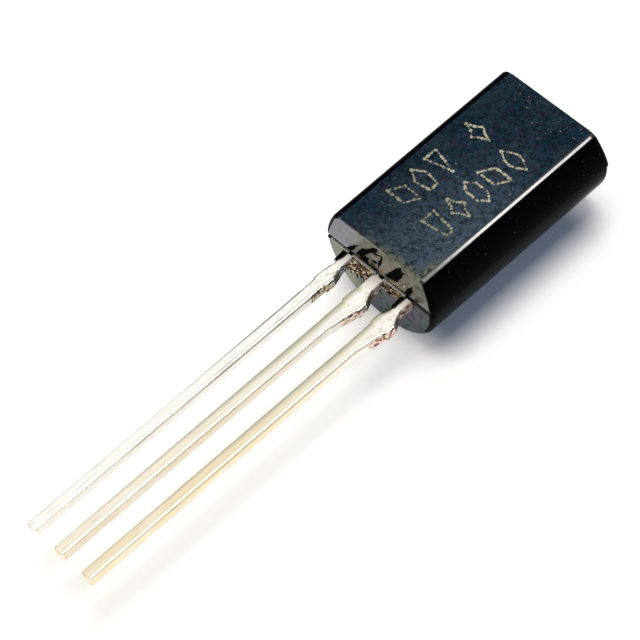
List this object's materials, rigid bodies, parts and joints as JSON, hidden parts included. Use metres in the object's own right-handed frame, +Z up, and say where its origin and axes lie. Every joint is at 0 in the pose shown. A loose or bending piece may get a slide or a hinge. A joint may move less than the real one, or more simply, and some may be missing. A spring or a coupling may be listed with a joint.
{
  "type": "to-92 transistor",
  "caption": "Through-hole power transistor in a long D-shaped black epoxy body with flat front, round back and straight tinned leads in one plane.",
  "frame": {"origin": "On the surface that the round back rests on, under the middle of the whole part: midway between the lead tips and the far end of the body, on the middle lead's centre line", "axes": "+X across the leads from emitter to base, +Y from the lead tips towards the body's far end, +Z up out of the flat front face"},
  "size_m": [0.0048, 0.0218, 0.0038],
  "materials": {
    "black_epoxy": "fine matte on the flat, semi-gloss on the round sides",
    "tinned_lead": "satin tin plating",
    "solder": "dull solder",
    "silicon": "polished silicon",
    "gold_wire": "drawn gold wire"
  },
  "bodies": {
    "root": {"moulded_body": "black_epoxy", "emitter_lead": "tinned_lead", "collector_lead": "tinned_lead", "base_lead": "tinned_lead", "die_attach": "solder", "silicon_die": "silicon", "emitter_bond_wire": "gold_wire", "base_bond_wire": "gold_wire"}
  },
  "joints": []
}
